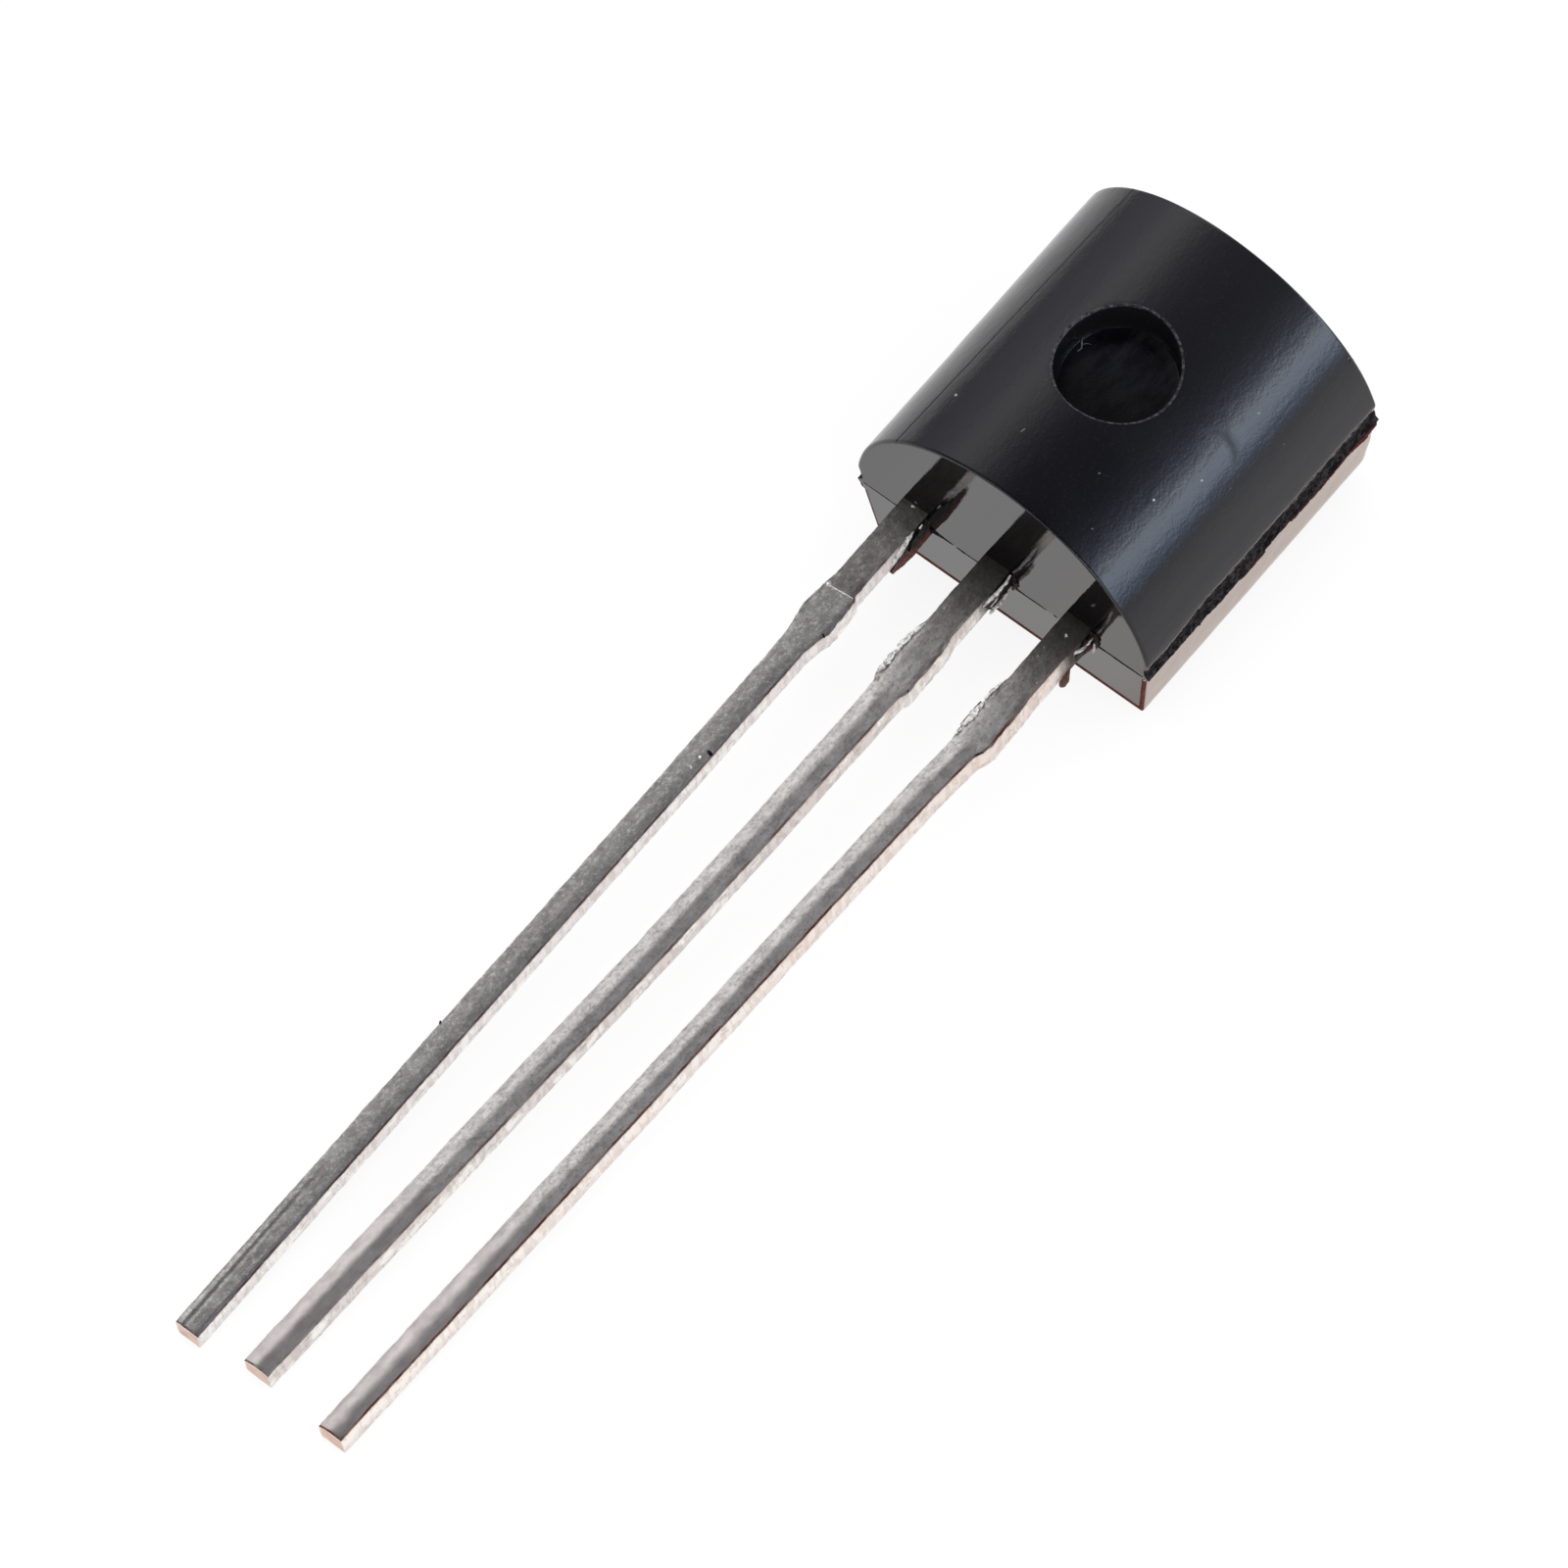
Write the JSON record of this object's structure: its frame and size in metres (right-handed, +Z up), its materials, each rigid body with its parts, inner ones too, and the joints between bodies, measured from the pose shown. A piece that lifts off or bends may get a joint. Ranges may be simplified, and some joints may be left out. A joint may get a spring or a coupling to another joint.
{
  "type": "transistor",
  "caption": "Small three-lead plastic transistor, round-backed black case with a flat side and a row of long thin tinned leads.",
  "frame": {"origin": "middle of the object's footprint, on the surface it lies on", "axes": "+Y along the leads towards the top of the case, +X across the row of leads, +Z up from the flat side to the round side, with the part tipped forward on to its lead tips"},
  "size_m": [0.0046, 0.0182, 0.0038],
  "materials": {
    "case": "semi-gloss moulded black epoxy",
    "lead": "tin plated copper alloy strip",
    "die": "polished silicon",
    "attach": "matt solder",
    "bond_wire": "drawn gold wire"
  },
  "bodies": {
    "root": {"epoxy_case": "case", "base_lead": "lead", "collector_lead": "lead", "emitter_lead": "lead", "silicon_die": "die", "die_attach": "attach", "base_bond_wire": "bond_wire", "emitter_bond_wire": "bond_wire"}
  },
  "joints": []
}
